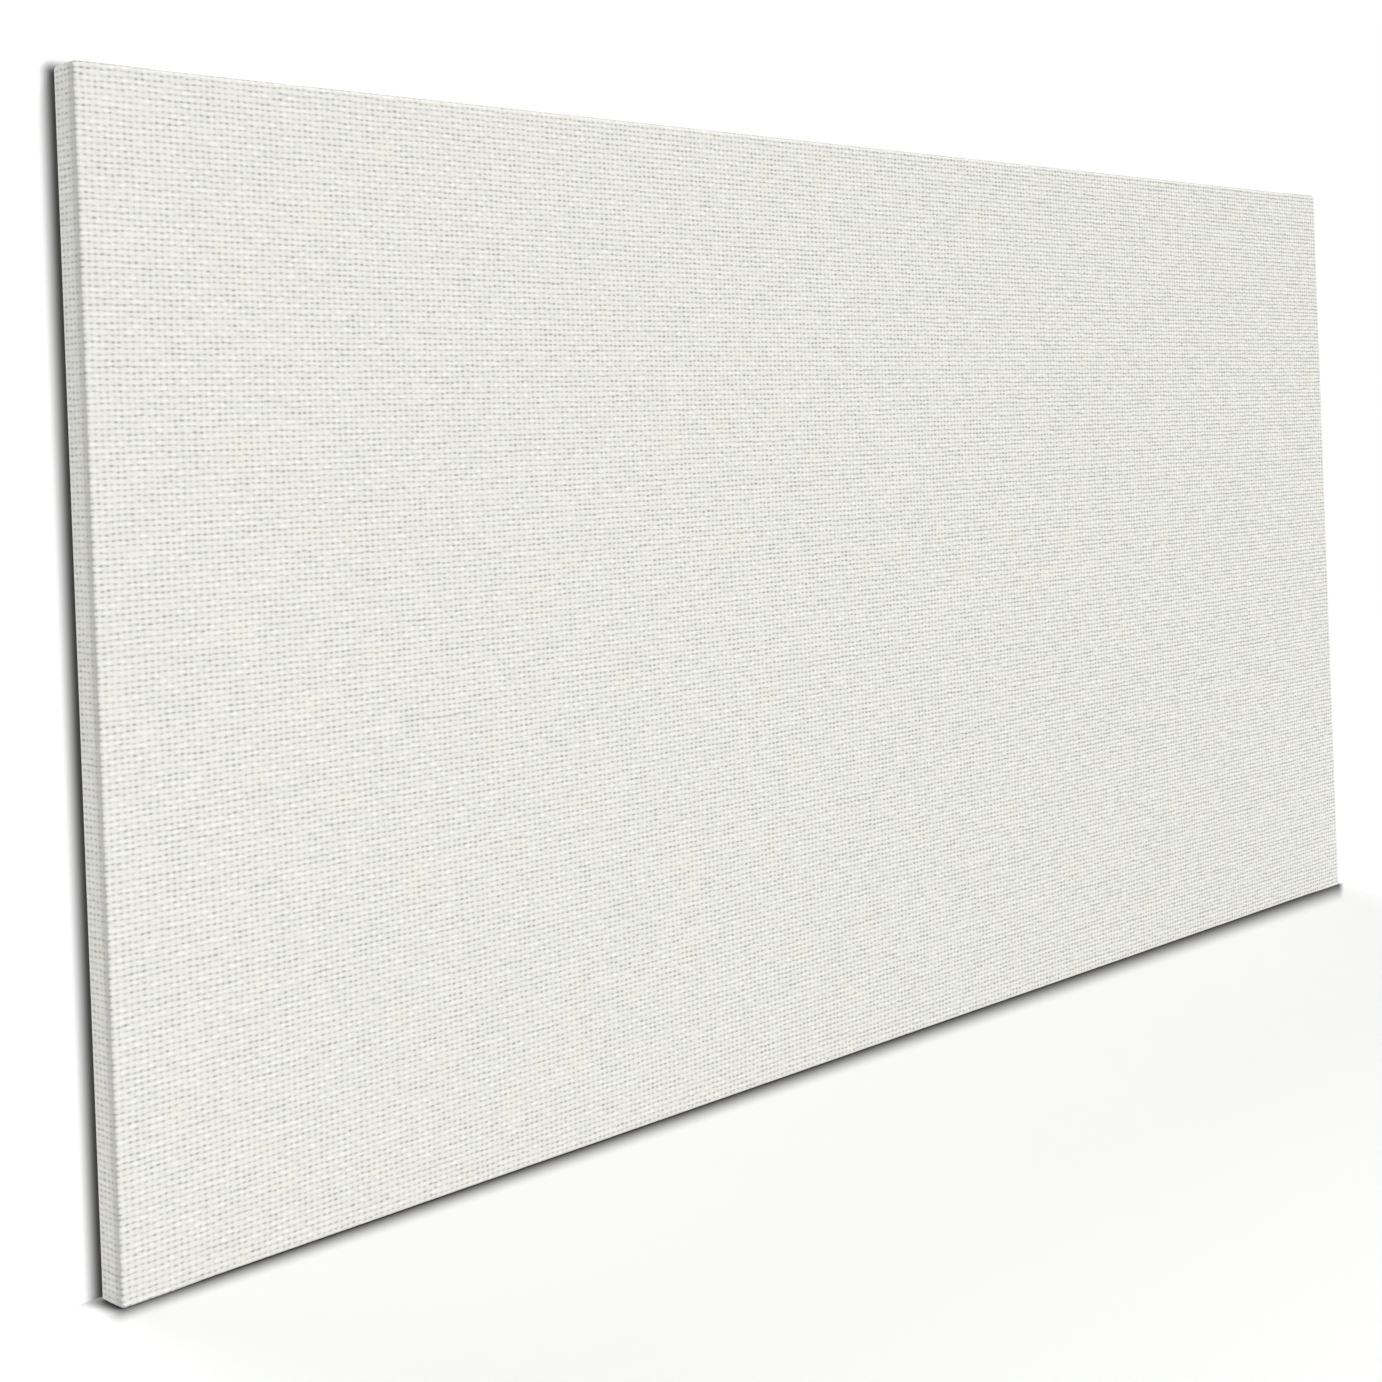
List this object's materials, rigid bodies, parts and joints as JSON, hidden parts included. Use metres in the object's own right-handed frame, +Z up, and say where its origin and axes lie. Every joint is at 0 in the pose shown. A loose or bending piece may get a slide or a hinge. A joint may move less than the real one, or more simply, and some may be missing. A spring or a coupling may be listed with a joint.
{
  "type": "stretched canvas",
  "caption": "Blank stretched canvas: primed cloth wrapped round a keyed wooden stretcher frame with a centre brace, and stapled at the back.",
  "frame": {"origin": "middle of the bottom edge, half way through the depth", "axes": "+Z up the canvas, +X to the right as seen from the front; the painting face looks along -Y and the back along +Y"},
  "size_m": [1.2, 0.0195, 0.6],
  "materials": {
    "primed_cloth": "matt primed weave, off-white, bare greige cloth on the inside",
    "bar_wood": "planed unvarnished pine",
    "key_wood": "sawn unvarnished beech",
    "staple_steel": "galvanised flat wire"
  },
  "bodies": {
    "frame": {"canvas": "primed_cloth", "top_bar": "bar_wood", "bottom_bar": "bar_wood", "left_bar": "bar_wood", "right_bar": "bar_wood", "centre_brace": "bar_wood", "staple_top_1": "staple_steel", "staple_top_2": "staple_steel", "staple_top_3": "staple_steel", "staple_top_4": "staple_steel", "staple_top_5": "staple_steel", "staple_top_6": "staple_steel", "staple_top_7": "staple_steel", "staple_top_8": "staple_steel", "staple_top_9": "staple_steel", "staple_top_10": "staple_steel", "staple_top_11": "staple_steel", "staple_top_12": "staple_steel", "staple_bottom_1": "staple_steel", "staple_bottom_2": "staple_steel", "staple_bottom_3": "staple_steel", "staple_bottom_4": "staple_steel", "staple_bottom_5": "staple_steel", "staple_bottom_6": "staple_steel", "staple_bottom_7": "staple_steel", "staple_bottom_8": "staple_steel", "staple_bottom_9": "staple_steel", "staple_bottom_10": "staple_steel", "staple_bottom_11": "staple_steel", "staple_bottom_12": "staple_steel", "staple_left_1": "staple_steel", "staple_left_2": "staple_steel", "staple_left_3": "staple_steel", "staple_left_4": "staple_steel", "staple_left_5": "staple_steel", "staple_left_6": "staple_steel", "staple_right_1": "staple_steel", "staple_right_2": "staple_steel", "staple_right_3": "staple_steel", "staple_right_4": "staple_steel", "staple_right_5": "staple_steel", "staple_right_6": "staple_steel", "staple_corner_top_left": "staple_steel", "staple_corner_top_right": "staple_steel", "staple_corner_bottom_left": "staple_steel", "staple_corner_bottom_right": "staple_steel"},
    "corner_key_top_left_horizontal": {"corner_key_top_left_horizontal": "key_wood"},
    "corner_key_top_left_vertical": {"corner_key_top_left_vertical": "key_wood"},
    "corner_key_top_right_horizontal": {"corner_key_top_right_horizontal": "key_wood"},
    "corner_key_top_right_vertical": {"corner_key_top_right_vertical": "key_wood"},
    "corner_key_bottom_left_horizontal": {"corner_key_bottom_left_horizontal": "key_wood"},
    "corner_key_bottom_left_vertical": {"corner_key_bottom_left_vertical": "key_wood"},
    "corner_key_bottom_right_horizontal": {"corner_key_bottom_right_horizontal": "key_wood"},
    "corner_key_bottom_right_vertical": {"corner_key_bottom_right_vertical": "key_wood"},
    "brace_key_top_left": {"brace_key_top_left": "key_wood"},
    "brace_key_top_right": {"brace_key_top_right": "key_wood"},
    "brace_key_bottom_left": {"brace_key_bottom_left": "key_wood"},
    "brace_key_bottom_right": {"brace_key_bottom_right": "key_wood"}
  },
  "joints": [
    {"name": "corner_key_top_left_horizontal_slide", "type": "slide", "parent": "frame", "child": "corner_key_top_left_horizontal", "axis": [1, 0, 0], "range_m": [0, 0.024]},
    {"name": "corner_key_top_left_vertical_slide", "type": "slide", "parent": "frame", "child": "corner_key_top_left_vertical", "axis": [0, 0, -1], "range_m": [0, 0.024]},
    {"name": "corner_key_top_right_horizontal_slide", "type": "slide", "parent": "frame", "child": "corner_key_top_right_horizontal", "axis": [-1, 0, 0], "range_m": [0, 0.024]},
    {"name": "corner_key_top_right_vertical_slide", "type": "slide", "parent": "frame", "child": "corner_key_top_right_vertical", "axis": [0, 0, -1], "range_m": [0, 0.024]},
    {"name": "corner_key_bottom_left_horizontal_slide", "type": "slide", "parent": "frame", "child": "corner_key_bottom_left_horizontal", "axis": [1, 0, 0], "range_m": [0, 0.024]},
    {"name": "corner_key_bottom_left_vertical_slide", "type": "slide", "parent": "frame", "child": "corner_key_bottom_left_vertical", "axis": [0, 0, 1], "range_m": [0, 0.024]},
    {"name": "corner_key_bottom_right_horizontal_slide", "type": "slide", "parent": "frame", "child": "corner_key_bottom_right_horizontal", "axis": [-1, 0, 0], "range_m": [0, 0.024]},
    {"name": "corner_key_bottom_right_vertical_slide", "type": "slide", "parent": "frame", "child": "corner_key_bottom_right_vertical", "axis": [0, 0, 1], "range_m": [0, 0.024]},
    {"name": "brace_key_top_left_slide", "type": "slide", "parent": "frame", "child": "brace_key_top_left", "axis": [-1, 0, 0], "range_m": [0, 0.015]},
    {"name": "brace_key_top_right_slide", "type": "slide", "parent": "frame", "child": "brace_key_top_right", "axis": [1, 0, 0], "range_m": [0, 0.015]},
    {"name": "brace_key_bottom_left_slide", "type": "slide", "parent": "frame", "child": "brace_key_bottom_left", "axis": [-1, 0, 0], "range_m": [0, 0.015]},
    {"name": "brace_key_bottom_right_slide", "type": "slide", "parent": "frame", "child": "brace_key_bottom_right", "axis": [1, 0, 0], "range_m": [0, 0.015]}
  ]
}
